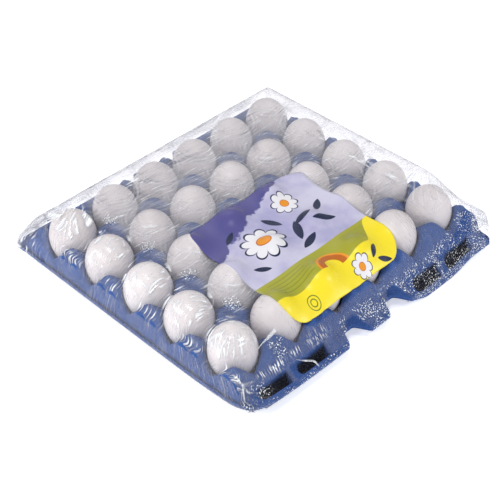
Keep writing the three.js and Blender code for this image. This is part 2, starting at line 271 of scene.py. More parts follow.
def softened(height, passes):
    """Rounds every edge: each point takes a quarter of its two neighbours, along and across."""
    for _ in range(passes):
        for axis in (0, 1):
            before = np.roll(height, 1, axis)
            after = np.roll(height, -1, axis)
            inner = (slice(None),) * axis + (slice(1, -1),)
            height[inner] = (0.5 * height + 0.25 * (before + after))[inner]
    return height


def grid_faces(rows, columns):
    """Four-sided faces between the neighbours of a grid of points, numbered row by row."""
    index = np.arange(rows * columns).reshape(rows, columns)
    corners = index[:-1, :-1], index[1:, :-1], index[1:, 1:], index[:-1, 1:]
    return np.stack([c.ravel() for c in corners], axis=1)


def slab_faces(rows, columns):
    """Faces of a closed sheet: a grid of points, the same grid again below it, and the rim."""
    below = rows * columns
    index = np.arange(below).reshape(rows, columns)
    upper = grid_faces(rows, columns)
    rim = np.concatenate([index[:-1, 0], index[-1, :-1], index[:0:-1, -1], index[0, :0:-1]])
    after = np.roll(rim, -1)
    sides = np.stack([rim, rim + below, after + below, after], axis=1)
    return np.concatenate([upper, upper[:, ::-1] + below, sides]).tolist()


def piece_from(name, points, faces, finish, uv=None, **shades):
    """A smooth piece from points in millimetres and a list of faces, with a map and shades by point."""
    mesh = bpy.data.meshes.new(name)
    mesh.from_pydata((points.reshape(-1, 3) * MM).tolist(), [], faces)
    mesh.shade_smooth()
    if uv is not None:
        layer = mesh.uv_layers.new(name="flat")
        corner_points = np.empty(len(mesh.loops), dtype=np.int32)
        mesh.loops.foreach_get("vertex_index", corner_points)
        layer.data.foreach_set("uv", uv.reshape(-1, 2)[corner_points].astype(np.float32).ravel())
    for shade_name, values in shades.items():
        shade = mesh.attributes.new(shade_name, "FLOAT", "POINT")
        values = np.broadcast_to(np.ravel(values), len(mesh.vertices))
        shade.data.foreach_set("value", values.astype(np.float32))
    mesh.materials.append(finish)
    piece = bpy.data.objects.new(name, mesh)
    bpy.context.collection.objects.link(piece)
    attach(piece, "root")
    return piece


class Wire:
    """An output socket in a material. Sums on it add Math nodes, and node() adds any other."""

    def __init__(self, tree, socket=None):
        self.tree, self.socket = tree, socket

    def node(self, kind, sockets=(), settings=(), output=0):
        """Adds a node, its settings first and then the values or links of its sockets."""
        made = self.tree.nodes.new("ShaderNode" + kind)
        for name, value in dict(settings).items():
            setattr(made, name, value)
        for name, value in dict(sockets).items():
            if isinstance(value, Wire):
                self.tree.links.new(value.socket, made.inputs[name])
            else:
                made.inputs[name].default_value = value
        return Wire(self.tree, made.outputs[output])

    def sum(self, operation, *values):
        """A Math node's operation on the values, this wire among them or not."""
        return self.node("Math", dict(enumerate(values)), {"operation": operation})

    def __add__(self, other):
        return self.sum("ADD", self, other)

    def __sub__(self, other):
        return self.sum("SUBTRACT", self, other)

    def __rsub__(self, other):
        return self.sum("SUBTRACT", other, self)

    def __mul__(self, other):
        return self.sum("MULTIPLY", self, other)

    def __truediv__(self, other):
        return self.sum("DIVIDE", self, other)

    def __pow__(self, other):
        return self.sum("POWER", self, other)

    __radd__, __rmul__ = __add__, __mul__

    def shade(self, name):
        """The values by point that piece_from() stored under a name."""
        return self.node("Attribute", settings={"attribute_name": name}, output=2)

    def between(self, low, high):
        """0 below low, 1 above high, and a smooth run between them."""
        sockets = {"Value": self, "From Min": low, "From Max": high}
        return self.node("MapRange", sockets, {"interpolation_type": "SMOOTHSTEP"})

    def blend(self, colour, other):
        """The colour where this is 0 and the other where it is 1."""
        return self.node("Mix", {0: self, 6: colour, 7: other}, {"data_type": "RGBA"}, 2)

    def noise(self, scale, detail=2.0, rough=0.5, twist=0.0):
        """Noise at this place, 0 to 1 about a half."""
        sockets = {"Vector": self, "Scale": scale, "Detail": detail, "Roughness": rough, "Distortion": twist}
        return self.node("TexNoise", sockets)

    def stretched(self, scale, turn=0.0):
        """This place, turned in its plane and then scaled along each axis."""
        turned = self.node("Mapping", {"Vector": self, "Rotation": (0, 0, turn)}, {"vector_type": "POINT"})
        return self.node("Mapping", {"Vector": turned, "Scale": scale}, {"vector_type": "POINT"})


def new_finish(name, constants):
    """A material and its tree, with its Principled shader's constants set on the sockets."""
    finish = bpy.data.materials.new(name)
    finish.use_nodes = True
    shader = finish.node_tree.nodes["Principled BSDF"]
    for socket, value in constants.items():
        shader.inputs[socket].default_value = value
    return finish, Wire(finish.node_tree), shader


def plug(wire, shader, name):
    """Links a wire to a socket of the shader."""
    wire.tree.links.new(wire.socket, shader.inputs[name])


def pulp_finish():
    """Dyed pulp: pressed fibres, soft lumps, and dye that is paler on the fibres that stand up.

    The dye darkens to painted shade deep in the pockets and in the narrow lip's groove.
    """
    finish, start, shader = new_finish("blue_pulp", {"Roughness": 0.9, "Specular IOR Level": 0.1})
    place = start.node("TexCoord", output=3)
    fibres = place.noise(620, 5, 0.65, 0.6)
    lumps = place.noise(95, 3)
    cloud = place.noise(14, 3)
    tone = (0.55 * fibres + 0.3 * lumps + 0.25 * cloud).between(0.3, 0.78)
    dye = tone.blend(PULP_DEEP, PULP_PALE)
    # Painted shade: the dye turns to PULP_IN_SHADE where recess is high.
    plug(start.shade("recess").blend(dye, PULP_IN_SHADE), shader, "Base Color")
    relief = fibres + 1.6 * lumps
    bump = start.node("Bump", {"Strength": 0.55, "Distance": 0.0008, "Height": relief})
    plug(bump, shader, "Normal")
    return finish


def tray_lines(half, edge, step, flange_step):
    """Grid lines a step apart over the cells and finer over the flange on both sides."""
    cells = np.linspace(-half, half, int(round(2 * half / step)) + 1)
    flange = np.linspace(half, edge, int(round((edge - half) / flange_step)) + 1)[1:]
    return np.concatenate([-flange[::-1], cells, flange])


def tray_piece():
    """The sheet: its lower face lies one wall below the upper, more where the wall is steep."""
    xs = tray_lines(HALF_X, EDGE_X, CELL_STEP, RIM_STEP_X)
    ys = tray_lines(HALF_Y, EDGE_Y, CELL_STEP, RIM_STEP_Y)
    x, y = np.meshgrid(xs, ys, indexing="ij")
    top = softened(tray_height(x, y), 1)
    steepness = np.hypot(np.gradient(top, xs, axis=0), np.gradient(top, ys, axis=1))
    beside = np.minimum(EDGE_X - np.abs(x), EDGE_Y - np.abs(y))
    drop = PULP * np.minimum(np.sqrt(1 + steepness**2), 2.4 - 1.2 * ease((5 - beside) / 3))
    drop = drop + RIM_TURN * (beside < 0.1)
    bottom = np.maximum(top - drop, 0)
    top = np.maximum(top, bottom + PULP_LEAST)
    inward = np.maximum(0, np.abs(y) - HALF_Y) / (EDGE_Y - HALF_Y) * notch_depth(x)
    px, py = round_corner(x, y - np.sign(y) * inward, EDGE_X, EDGE_Y, CORNER_RADIUS)
    px, py = bent_corner(px, py)
    px = px - WAIST * bell(y - WAIST_Y, WAIST_HALF) * ease((x - HALF_X) / 6)
    points = np.stack([np.stack([px, py, top], axis=-1), np.stack([px, py, bottom], axis=-1)])
    # Painted shade: recess darkens the pulp deep in the pockets of the broad flange and along the narrow
    # lip's groove, where little light gets in; the lower face takes half of it.
    out_y = np.abs(y) - HALF_Y
    sunk = ease((17.8 - top + corner_lift(x, y)) / 2.4)
    recess = pocket_share(x) * sunk * ease((out_y - SLOPE_RUN + 1.2) / 0.8)
    recess = recess * ease((19.6 - out_y) / 1.2)
    recess = np.maximum(recess, 0.9 * bell(np.abs(x) - HALF_X - GROOVE_OUT, 0.5))
    recess = np.stack([recess, 0.5 * recess])
    return piece_from("pulp_tray", points, slab_faces(len(xs), len(ys)), pulp_finish(), recess=recess)


tray = tray_piece()
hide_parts("tray")


# ----------------------------------------
# The eggs: thirty white hen's eggs, blunt end up, each hanging in its cup. The shell is matt
# with a faint sheen, full of pores, and no two are quite the same tint.
EGG_BLUNT, EGG_FULLER = 0.06, 1.012
EGG_ROUND, EGG_TALL = 56, 40
TINT_SEED = 30
SHELL_GREY, SHELL_WHITE = (0.74, 0.69, 0.685, 1), (0.84, 0.80, 0.79, 1)


def shell_finish():
    """Egg shell: white with a warm or grey cast that differs by egg, faint clouds and pores."""
    finish, start, shader = new_finish("egg_shell", {"Specular IOR Level": 0.45})
    place = start.node("TexCoord", output=3)
    clouds = place.noise(60, 4)
    pores = place.noise(1500, 2, 0.6)
    shade = 0.6 * start.shade("tint") + 0.5 * clouds
    plug(shade.between(0.1, 0.95).blend(SHELL_GREY, SHELL_WHITE), shader, "Base Color")
    plug(0.38 + 0.16 * pores, shader, "Roughness")
    relief = 0.25 * pores + 0.5 * clouds
    plug(start.node("Bump", {"Strength": 0.35, "Distance": 0.0003, "Height": relief}), shader, "Normal")
    return finish


def egg_points(centre, radius, half):
    """An egg: circles whose radius is that of an ellipse, fuller towards the upper end."""
    t = np.linspace(-math.pi / 2, math.pi / 2, EGG_TALL + 1)[1:-1, None]
    turn = np.linspace(0, 2 * math.pi, EGG_ROUND, endpoint=False)[None, :]
    girth = radius * np.cos(t) * (1 + EGG_BLUNT * np.sin(t))
    circles = np.stack([girth * np.cos(turn), girth * np.sin(turn), half * np.sin(t) + 0 * turn], axis=-1)
    ends = [[0, 0, -half], [0, 0, half]]
    return np.concatenate([circles.reshape(-1, 3), ends]) + centre


def egg_faces():
    """Four-sided faces between the circles and a fan of triangles at each end."""
    circles = EGG_TALL - 1
    index = np.arange(circles * EGG_ROUND).reshape(circles, EGG_ROUND)
    after = np.roll(index, -1, axis=1)
    belt = np.stack([index[:-1], after[:-1], after[1:], index[1:]], axis=-1).reshape(-1, 4)
    end = np.full(EGG_ROUND, circles * EGG_ROUND)
    low = np.stack([end, after[0], index[0]], axis=1)
    high = np.stack([end + 1, index[-1], after[-1]], axis=1)
    return belt.tolist() + low.tolist() + high.tolist()


shell = shell_finish()
shell_faces = egg_faces()
tints = np.random.default_rng(TINT_SEED).random((ROWS, COLUMNS))
egg_sizes = np.zeros((ROWS, COLUMNS, 5))
for row in range(ROWS):
    for column in range(COLUMNS):
        place = f"{row + 1}_{column + 1}"
        low, high = (np.array(corner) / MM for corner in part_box("egg_" + place))
        middle, half_size = (low + high) / 2, (high - low) / 2
        radius = EGG_FULLER * max(half_size[0], half_size[1])
        egg_sizes[row, column] = [*middle, radius, half_size[2]]
        points = egg_points(middle, radius, half_size[2])
        egg = piece_from("egg_shell_" + place, points, shell_faces, shell, tint=tints[row, column])
        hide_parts("egg_" + place)


# ----------------------------------------
# The shape of the wrap. Shrink film is tight over the eggs and down the two near sides, and
# stands off as a tent along the two far ones. It is found as a net of points that settles over
# everything below it, and the label takes its shape from the same net.
STEP = 1.04
FILM_OUT, FILM_TUCK = 1.2, 4.0
FILM_CLEAR, FILM_LEVEL, RIM_PULL = 0.45, 58.5, 6
SETTLE_PASSES, SETTLE_SAG = 1400, 0.0075
NOTHING_HERE = -50
LABEL_LOW, LABEL_HIGH = (np.array(corner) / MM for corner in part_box("label"))
FAR_X = [(120, 59.6), (135, 58.4), (142, 55.5), (146, 42), (150, 20), (152, 15)]
FAR_Y = [(101, 59.6), (113, 58.6), (121, 55.5), (134, 40), (146, 24), (154, 15)]
TENT_FROM_X, TENT_FROM_Y, TENT_SINK = 118, 99, 12.0


def egg_height(x, y):
    """The upper surface of the egg under each point, or far below where there is none.

    The distance from the egg's middle is looked up in the outline of its upper part."""
    row = np.clip(np.floor(ROWS / 2 - y / PITCH_Y), 0, ROWS - 1).astype(int)
    column = np.clip(np.floor(x / PITCH_X + COLUMNS / 2), 0, COLUMNS - 1).astype(int)
    cx, cy, cz, radius, half = np.moveaxis(egg_sizes[row, column], -1, 0)
    t = np.linspace(math.pi / 2, math.asin(EGG_BLUNT), 200)
    girth = np.cos(t) * (1 + EGG_BLUNT * np.sin(t))
    reach = np.hypot(x - cx, y - cy) / radius
    return np.where(reach < girth[-1], cz + half * np.interp(reach, girth, np.sin(t)), NOTHING_HERE)


def settled_net(x, y):
    """Film heights: each point goes to the mean of its neighbours, but never into what it covers."""
    below = np.maximum(egg_height(x, y), tray_height(x, y)) + FILM_CLEAR
    far_x = np.interp(x, *zip(*FAR_X))
    far_y = np.interp(y, *zip(*FAR_Y))
    sunk = TENT_SINK * ease((-78 - y) / 48) * ease((x - 120) / 16)
    in_tent = (x > TENT_FROM_X) | (y > TENT_FROM_Y)
    tent = np.where(in_tent, np.minimum(far_x, far_y) - sunk, NOTHING_HERE)
    edge = np.minimum(EDGE_X - np.abs(x), EDGE_Y - np.abs(y))
    floor = np.maximum(below, np.minimum(tent, 15.5 + RIM_PULL * edge))
    net = np.maximum(np.minimum(FILM_LEVEL, 15 + RIM_PULL * edge), floor)
    for _ in range(SETTLE_PASSES):
        mean = (net[:-2, 1:-1] + net[2:, 1:-1] + net[1:-1, :-2] + net[1:-1, 2:]) / 4
        net[1:-1, 1:-1] = np.maximum(mean - SETTLE_SAG, floor[1:-1, 1:-1])
    return net


net_xs = np.linspace(-EDGE_X, EDGE_X, int(2 * EDGE_X / STEP) + 1)
net_ys = np.linspace(-EDGE_Y, EDGE_Y, int(2 * EDGE_Y / STEP) + 1)
net_x, net_y = np.meshgrid(net_xs, net_ys, indexing="ij")
net = softened(settled_net(net_x, net_y), 2)
net_slope = np.hypot(np.gradient(net, net_xs, axis=0), np.gradient(net, net_ys, axis=1))


def net_height(x, y, net=net):
    """The net's height, or other values on its points, at any place in straight lines between them."""
    i = np.clip((x + EDGE_X) / (net_xs[1] - net_xs[0]), 0, len(net_xs) - 1.001)
    j = np.clip((y + EDGE_Y) / (net_ys[1] - net_ys[0]), 0, len(net_ys) - 1.001)
    i0, j0 = i.astype(int), j.astype(int)
    a, b = i - i0, j - j0
    near = net[i0, j0] * (1 - b) + net[i0, j0 + 1] * b
    far = net[i0 + 1, j0] * (1 - b) + net[i0 + 1, j0 + 1] * b
    return near * (1 - a) + far * a


# ----------------------------------------
# The label: a printed sheet laid on the eggs before the pack is wrapped. It covers the middle of
# the pack and bends down over the first row of eggs on the near side.
LABEL_STEP, LABEL_ROUND = 0.9, 18
LABEL_UNDER, LABEL_THICK = 0.18, 0.12  # its depth below the film's net, and its thickness
LABEL_LEAN, LABEL_SHORT = 2.8, 4.0

LILAC, CLOUD, VIOLET = (0.36, 0.35, 0.56, 1), (0.60, 0.59, 0.72, 1), (0.085, 0.08, 0.26, 1)
GREEN, DARK_GREEN, YELLOW = (0.36, 0.36, 0.025, 1), (0.16, 0.20, 0.02, 1), (0.90, 0.74, 0.02, 1)
NAVY, WHITE = (0.012, 0.02, 0.06, 1), (0.78, 0.78, 0.80, 1)
ORANGE, DEEP_ORANGE = (0.80, 0.30, 0.02, 1), (0.50, 0.13, 0.01, 1)
END_DEPTH, BAND_TOP = 24, 50
DAISIES = [(45, 86, 19, 9), (96, 112, 12, 8), (86, 12, 8.5, 7)]  # middle, radius and petals
LEAVES = [  # middle, half length, half width and turn in degrees
    (76, 62, 11, 3.6, 20), (78, 78, 12, 4.0, 62), (92, 86, 11, 3.6, 8), (70, 102, 10, 3.4, 118),
    (104, 72, 11, 3.6, -24), (114, 90, 10, 3.4, 40), (22, 64, 8, 2.8, -30), (30, 112, 8, 2.6, 30),
    (104, 16, 7, 2.3, 40), (110, 8, 7, 2.3, -20),
]
RULES = [(8, 50, 4.0), (92, 124, 2.6)]  # ends across and spacing of the fine lines on the band
RINGS = [(6, 4.9), (3.4, 2.2)]  # outer and inner radius


class Print:
    """A flat print: a colour so far, and the place on the sheet in millimetres across and along."""

    def __init__(self, across, along, colour):
        self.across, self.along, self.colour = across, along, colour

    def ink(self, mask, colour):
        """Lays a colour over what is there, where the mask is 1."""
        self.colour = mask.blend(self.colour, colour)

    def reach(self, a, b):
        """Distance from a point of the sheet."""
        return self.across.sum("POWER", (self.across - a) ** 2.0 + (self.along - b) ** 2.0, 0.5)

    def leaf(self, a, b, half_long, half_wide, turn, colour):
        """A pointed ellipse, narrower towards its tips."""
        cos, sin = math.cos(math.radians(turn)), math.sin(math.radians(turn))
        run = (self.across - a) * (cos / half_long) + (self.along - b) * (sin / half_long)
        rise = (self.along - b) * (cos / half_wide) - (self.across - a) * (sin / half_wide)
        size = run * run + (rise * rise) ** 0.6
        self.ink((1 - size).between(0, 0.06), colour)

    def daisy(self, a, b, radius, petals):
        """Petals round an orange eye: the edge's radius goes up and down with the angle."""
        reach = self.reach(a, b)
        angle = self.across.sum("ARCTAN2", self.along - b, self.across - a)
        wave = angle.sum("SINE", angle * (petals / 2))
        edge = radius * (0.62 + 0.38 * wave.sum("ABSOLUTE", wave) ** 0.55)
        eye = (0.36 * radius, DEEP_ORANGE), (0.31 * radius, ORANGE)
        for outline, colour in ((edge + 0.10 * radius, NAVY), (edge, WHITE), *eye):
            self.ink((outline - reach).between(0, 0.3), colour)


def print_finish():
    """Print in flat inks: a lilac sky with clouds, a green band of fine rules and a yellow end."""
    finish, start, shader = new_finish("label_print", {"Roughness": 0.32, "Specular IOR Level": 0.35})
    place = start.node("UVMap", settings={"uv_map": "flat"})
    parts = start.node("SeparateXYZ", {"Vector": place}).socket.node
    across, along = 1000 * Wire(start.tree, parts.outputs[0]), 1000 * Wire(start.tree, parts.outputs[1])
    haze, ragged = place.noise(16, 3), place.noise(70, 5, 0.6)
    sky = (haze + 0.3 * ragged).between(0.45, 0.8).blend(LILAC, CLOUD)
    art = Print(across, along, sky)
    art.ink((along - 0.42 * across + 26 * ragged + 16 * haze - 112).between(0, 2.5), VIOLET)
    for leaf in LEAVES[:-2]:
        art.leaf(*leaf, NAVY)
    art.ink((BAND_TOP - along).between(0, 0.4), GREEN)
    for low, high, spacing in RULES:
        wave = along.sum("SINE", along * (2 * math.pi / spacing))
        inside = (across - low).between(0, 0.5) * (high - 6 * haze - across).between(0, 0.5)
        band = (along - END_DEPTH - 4).between(0, 0.5) * (BAND_TOP - 3 - along).between(0, 0.5)
        art.ink(wave.between(0.72, 0.9) * inside * band * 0.75, DARK_GREEN)
    sun = art.reach(66, END_DEPTH)
    art.ink((17 - sun).between(0, 0.5), ORANGE)
    art.ink((13 - sun + 4 * ragged).between(0, 0.8), DEEP_ORANGE)
    art.ink((9 - sun).between(0, 0.5), YELLOW)
    end = END_DEPTH + (BAND_TOP - END_DEPTH) * (across - 104).between(0, 26)
    art.ink((end - along).between(0, 0.4) * (BAND_TOP - along).between(0, 0.4), YELLOW)
    for leaf in LEAVES[-2:]:
        art.leaf(*leaf, NAVY)
    for daisy in DAISIES:
        art.daisy(*daisy)
    ring = art.reach(28, 12)
    for outer, inner in RINGS:
        art.ink((outer - ring).between(0, 0.3) * (ring - inner).between(0, 0.3), DARK_GREEN)
    plug(art.colour, shader, "Base Color")
    bump = start.node("Bump", {"Strength": 0.4, "Distance": 0.0008, "Height": place.noise(45, 2)})
    plug(bump, shader, "Normal")
    return finish


def label_piece():
    """A thin sheet just under the film, its corners rounded, with a map in metres across and along.

    A rectangle that leans sideways with the place along it, at the heights of the film's net."""
    low, high = LABEL_LOW[:2], LABEL_HIGH[:2]
    middle, half = (low + high) / 2, (high - low) / 2
    xs = np.linspace(-half[0], half[0], int(2 * half[0] / LABEL_STEP))
    ys = np.linspace(-half[1], half[1], int(2 * half[1] / LABEL_STEP))
    x, y = np.meshgrid(xs, ys, indexing="ij")
    px, py = round_corner(x, y, half[0], half[1], LABEL_ROUND)
    px = px + middle[0] + LABEL_LEAN * py / half[1]
    py = py + middle[1] + LABEL_SHORT * (half[1] - py) / (2 * half[1])
    height = net_height(px, py) - LABEL_UNDER
    upper = np.stack([px, py, height], axis=-1)
    lower = np.stack([px, py, height - LABEL_THICK], axis=-1)
    flat = np.stack([(px - low[0]) / 1000, (py - low[1]) / 1000], axis=-1)
    points, uv = np.stack([upper, lower]), np.stack([flat, flat])
    return piece_from("printed_label", points, slab_faces(len(xs), len(ys)), print_finish(), uv=uv)


label = label_piece()
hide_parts("label")


# ----------------------------------------
# The film: clear shrink film, drawn down round the rim by heat and tucked in below it. It is
# full of wrinkles that run down the sides and from egg to egg over the top, and it gathers in a
# star of creases by the near corner.
FILM_STEP, FINE_STEP, FINE_X, FINE_Y = 1.12, 0.62, -124, -126
NO_CAP, FILM_LOWEST = 1e3, 0.6
TENT_X, TENT_Y = 139, 118
# FILM_WHITE is the colour of the painted highlights, FILM_IN_SHADE that of the painted shade, and FILM_GREY
# the film's veil.
FILM_GREY, FILM_IN_SHADE = (0.62, 0.60, 0.63, 1), (0.05, 0.07, 0.13, 1)
FILM_WHITE, FILM_TINT = (0.93, 0.97, 1.0, 1), (0.98, 0.972, 0.98, 1)
# The skirt: how far out past the rim each of its lines lies, and how high.
SKIRT = [(0.6, 14.6), (1.0, 12.6), (0.9, 11.0), (-0.2, 9.8), (-2.0, 9.2), (-FILM_TUCK, 9.0)]
STAR = (-140.5, -133.5)
# The white of each ray is the strength of its painted highlight.
RAYS = [  # direction in degrees, length, half width and how white
    (97, 12, 0.45, 0.9), (116, 11, 0.4, 0.7), (-12, 13, 0.6, 0.3), (-28, 10, 0.5, 0.25),
    (-128, 14, 0.5, 0.9), (-142, 12, 0.4, 0.4), (-75, 12, 0.4, 0.4),
]
# The dashes are painted highlights: short strokes of light on the broad slope.
DASHES = [  # patches of short bright folds on the broad slope: middle, half sizes and how white
    (-106, -136, 9, 2.8, 1.0), (-122, -135, 4, 2.4, 0.9), (-85, -135.5, 6, 2.0, 0.9),
    (-60, -136, 13, 5.0, 0.55),
]
# Each fleck is a low ridge with a painted highlight.
FLECKS = [  # short folds by the corner: middle, direction, half length and half width
    (-137, -141, -40, 2.2, 0.4), (-134, -142, -30, 2.6, 0.4), (-136, -144.5, -48, 2.8, 0.4),
    (-133, -146, -35, 2.4, 0.4), (-138, -147, -60, 2.0, 0.4), (-130, -143, -20, 1.8, 0.4),
    (-131, -148, -45, 2.2, 0.4), (-135.5, -149, -70, 1.8, 0.4), (-140, -138.5, -70, 1.8, 0.4),
]


def ridges(place, lengths, seed):
    """A row of uneven ridges, 0 to about 1: the upper part of a sum of sines of random phase."""
    phases = np.random.default_rng(seed).random(len(lengths)) * 2 * math.pi
    total = sum(np.sin(2 * math.pi * place / length + phase) for length, phase in zip(lengths, phases))
    return np.clip(total / math.sqrt(len(lengths)), 0, 1.6) ** 1.3 / 1.8


def turned(x, y, degrees):
    """A place along and off a direction."""
    cos, sin = math.cos(math.radians(degrees)), math.sin(math.radians(degrees))
    return x * cos + y * sin, y * cos - x * sin


def star_rays(x, y):
    """The star: its rays' height and painted highlight. Each is a narrow straight ridge.

    Round it lie short flecks, each a bell across and flatter along its length."""
    ax, ay = x - STAR[0], y - STAR[1]
    height, bright = 1.0 * round_bell(ax, ay, 1.5), 0.9 * round_bell(ax, ay, 1.0)
    for turn, length, half, white in RAYS:
        along, off = turned(ax, ay, turn)
        ray = ease(along / 2) * ease((length - along) / (0.5 * length)) * bell(off, half)
        height, bright = np.maximum(height, 0.8 * ray), np.maximum(bright, white * ray)
    for cx, cy, turn, half_long, half_wide in FLECKS:
        along, off = turned(x - cx, y - cy, turn)
        fleck = np.exp(-((along / half_long) ** 4) - (off / half_wide) ** 2)
        height, bright = np.maximum(height, 0.45 * fleck), np.maximum(bright, 0.9 * fleck)
    return height, bright


def gathers(x, y):
    """Folds that run out from the tops of the first and last egg of the left column: 0 to 1.

    Two waves in the angle round the egg's middle, bent by its own sines and by the distance."""
    off_x, off_y = in_cell(x, y)
    ends = (x - off_x < -100) * (np.abs(y - off_y) > 90)
    reach, angle = np.hypot(off_x, off_y), np.arctan2(off_y, off_x)
    wave = 0.5 + 0.5 * np.sin(13 * angle + 3.1 * np.sin(3 * angle + 1) + 0.25 * reach)
    broad = 0.5 + 0.5 * np.sin(5 * angle + 2 * np.sin(2 * angle) + 0.1 * reach)
    side = 0.25 + 0.75 * ease(0.5 + 0.9 * np.cos(angle + 2.36))
    folds = np.maximum(wave**3, 0.55 * ease(2 * broad - 0.8))
    return ends * side * folds * ease((reach - 4) / 7) * ease((20.5 - reach) / 2)


def creases(x, y, down_x, down_y):
    """How far the film's folds stand above the settled net, in millimetres.

    Ridges run down both near sides. Longer ones cross the top in the gaps between the eggs, and
    wide soft ones hang in the two tents. Round the star, ridges run outward and die away."""
    gap = ease((np.hypot(*in_cell(x, y)) - 9) / 10)
    sway = 2.2 * np.sin(x / 23) + 1.5 * np.sin(y / 31)
    down = (0.35 + 0.4 * gap) * down_x * ridges(y + 0.25 * sway, (4.1, 5.3, 7.9, 11.0), 1)
    down = down + 0.75 * down_y * ridges(x + 0.3 * sway, (4.3, 5.9, 8.3, 12.0), 2)
    top = ridges(y + 0.12 * x + sway, (4.4, 6.1, 9.7), 3)
    top = top + 0.6 * ridges(y - 0.5 * x + sway, (5.2, 8.1), 4)
    top = 0.25 * top * gap * (1 - np.minimum(down_x + down_y, 1))
    tent_x = ease((x - 141) / 6) * ridges(y + sway, (9.1, 15.0, 27.0), 5)
    tent_y = ease((y - 121) / 9) * ridges(x + sway, (9.7, 17.0, 29.0), 6)
    return down + top + 1.3 * np.maximum(tent_x, tent_y) + star_rays(x, y)[0] + 0.7 * gathers(x, y)


def film_finish():
    """Clear film: see-through where smooth, glossy aslant, painted white along its creases.

    Fine wrinkles run down both near sides, and over the top along the rows and in arcs round the
    eggs, which are level lines of the film. Each kind is a noise drawn out along its own
    direction, and the shades that the points carry say where it shows. White marks are painted
    highlights of creases that catch light, dark ones painted shade beside them."""
    finish, start, shader = new_finish("clear_film", {})
    place = start.node("UVMap", settings={"uv_map": "flat"})
    spot = start.node("TexCoord", output=3)
    haze, bare, down_x, down_y = (start.shade(name) for name in ("haze", "bare", "down_x", "down_y"))
    gap, shoulder_glint, crumple_glint_shade = (start.shade(name) for name in ("gap", "shoulder_glint", "crumple_glint_shade"))
    glint, fold_shade, steep = (start.shade(name) for name in ("glint", "fold_shade", "steep"))
    top = 1 - (down_x + down_y).sum("MINIMUM", down_x + down_y, 1)
    over = place.stretched((60, 640, 1), 0.12).noise(1, 2, 0.55, 0.5)
    arcs = start.node("Mapping", {"Vector": spot, "Scale": (40, 40, 640)}).noise(1, 2, 0.55, 0.5)
    wide_x = place.stretched((45, 500, 1)).noise(1, 2, 0.6, 0.3)
    side_x = place.stretched((60, 760, 1)).noise(1, 1, 0.5, 0.2)
    side_y = place.stretched((880, 130, 1), 0.1).noise(1, 1, 0.5, 0.2)
    crumple = place.noise(780, 1, 0.5, 0.2)
    patches, pieces = place.noise(34, 2), place.noise(95, 1)
    broken = patches.between(0.40, 0.58)
    # Painted highlights: white lines of wrinkles over the top, white strokes on the near eggs, dashes of
    # light along the posts and the broad slope, and glint specks among crumples.
    lines = top * gap * (0.8 * over.between(0.60, 0.67) + 1.3 * steep * arcs.between(0.58, 0.65))
    lines = lines * (0.3 + 0.7 * broken)
    # Painted shade: dark lines beside the wrinkles over the top.
    shades = 0.9 * top * gap * (0.5 * over.between(0.42, 0.35) + 0.6 * steep * arcs.between(0.42, 0.36))
    streaks = down_x * (1 - gap) * wide_x.between(0.50, 0.59) * pieces.between(0.44, 0.54)
    ladder = down_x * gap * wide_x.between(0.54, 0.59) + down_y * side_y.between(0.54, 0.58)
    glint_specks = (crumple + 0.12 * crumple_glint_shade).between(0.675, 0.70) * pieces.between(0.38, 0.50)
    glint_specks = glint_specks * crumple_glint_shade.between(0.1, 0.4)
    white = 0.5 * lines + 0.8 * streaks + ladder * (0.12 * broken * down_x + shoulder_glint) + glint
    white = white * (1 - bare) + glint_specks
    white = white.sum("MINIMUM", white, 1)
    # Painted shade beside the ripples of the narrow side, beside folds and among crumples.
    dark = (shades + fold_shade + 0.5 * gap * down_x * side_x.between(0.46, 0.36)) * (1 - bare)
    dark = dark + 1.3 * crumple_glint_shade * crumple.between(0.45, 0.36)
    dark = dark.sum("MINIMUM", dark, 1) * (1 - white)
    near_x = gap * (0.9 * wide_x + 0.4 * side_x) + 0.2 * (1 - gap) * wide_x
    relief = top * (0.2 * over + 0.2 * steep * arcs) + down_x * near_x + 0.9 * down_y * side_y
    relief = relief + 0.4 * crumple_glint_shade * crumple
    bump = start.node("Bump", {"Strength": 1.0, "Distance": 0.0016, "Height": relief})
    plug(bump, shader, "Normal")
    facing = start.node("LayerWeight", {"Blend": 0.5, "Normal": bump}, output=1)
    gloss = (0.04 + 0.7 * facing**4.0) * (1 - 0.85 * bare)
    plug(0.11 + 0.08 * top + gap * (0.13 + 0.14 * (down_x + down_y)), shader, "Roughness")
    veil = haze * (0.6 + 0.8 * over) + 0.95 * white + 0.32 * dark
    total = (gloss + veil).sum("MINIMUM", gloss + veil, 0.95)
    plug(gloss / total, shader, "Metallic")
    tone = dark.blend(FILM_GREY, FILM_IN_SHADE)
    plug(white.blend(tone, FILM_WHITE), shader, "Base Color")
    clear = start.node("BsdfTransparent", {"Color": FILM_TINT})
    solid = Wire(start.tree, shader.outputs[0])
    mixed = start.node("MixShader", {0: total, 1: clear, 2: solid})
    start.tree.links.new(mixed.socket, start.tree.nodes["Material Output"].inputs["Surface"])
    return finish


def film_lines(edge, fine):
    """The film's grid lines on one axis, and the height that the skirt allows at each of them.

    They lie close together as far as the place called fine and wider apart after it. The skirt's
    lines lie beyond both ends."""
    out, down = np.array(SKIRT).T
    near = np.linspace(-edge, fine, int((fine + edge) / FINE_STEP))[:-1]
    far = np.linspace(fine, edge, int((edge - fine) / FILM_STEP))
    lines = np.concatenate([-(edge + out)[::-1], near, far, edge + out])
    return lines, np.concatenate([down[::-1], np.full(len(near) + len(far), NO_CAP), down])


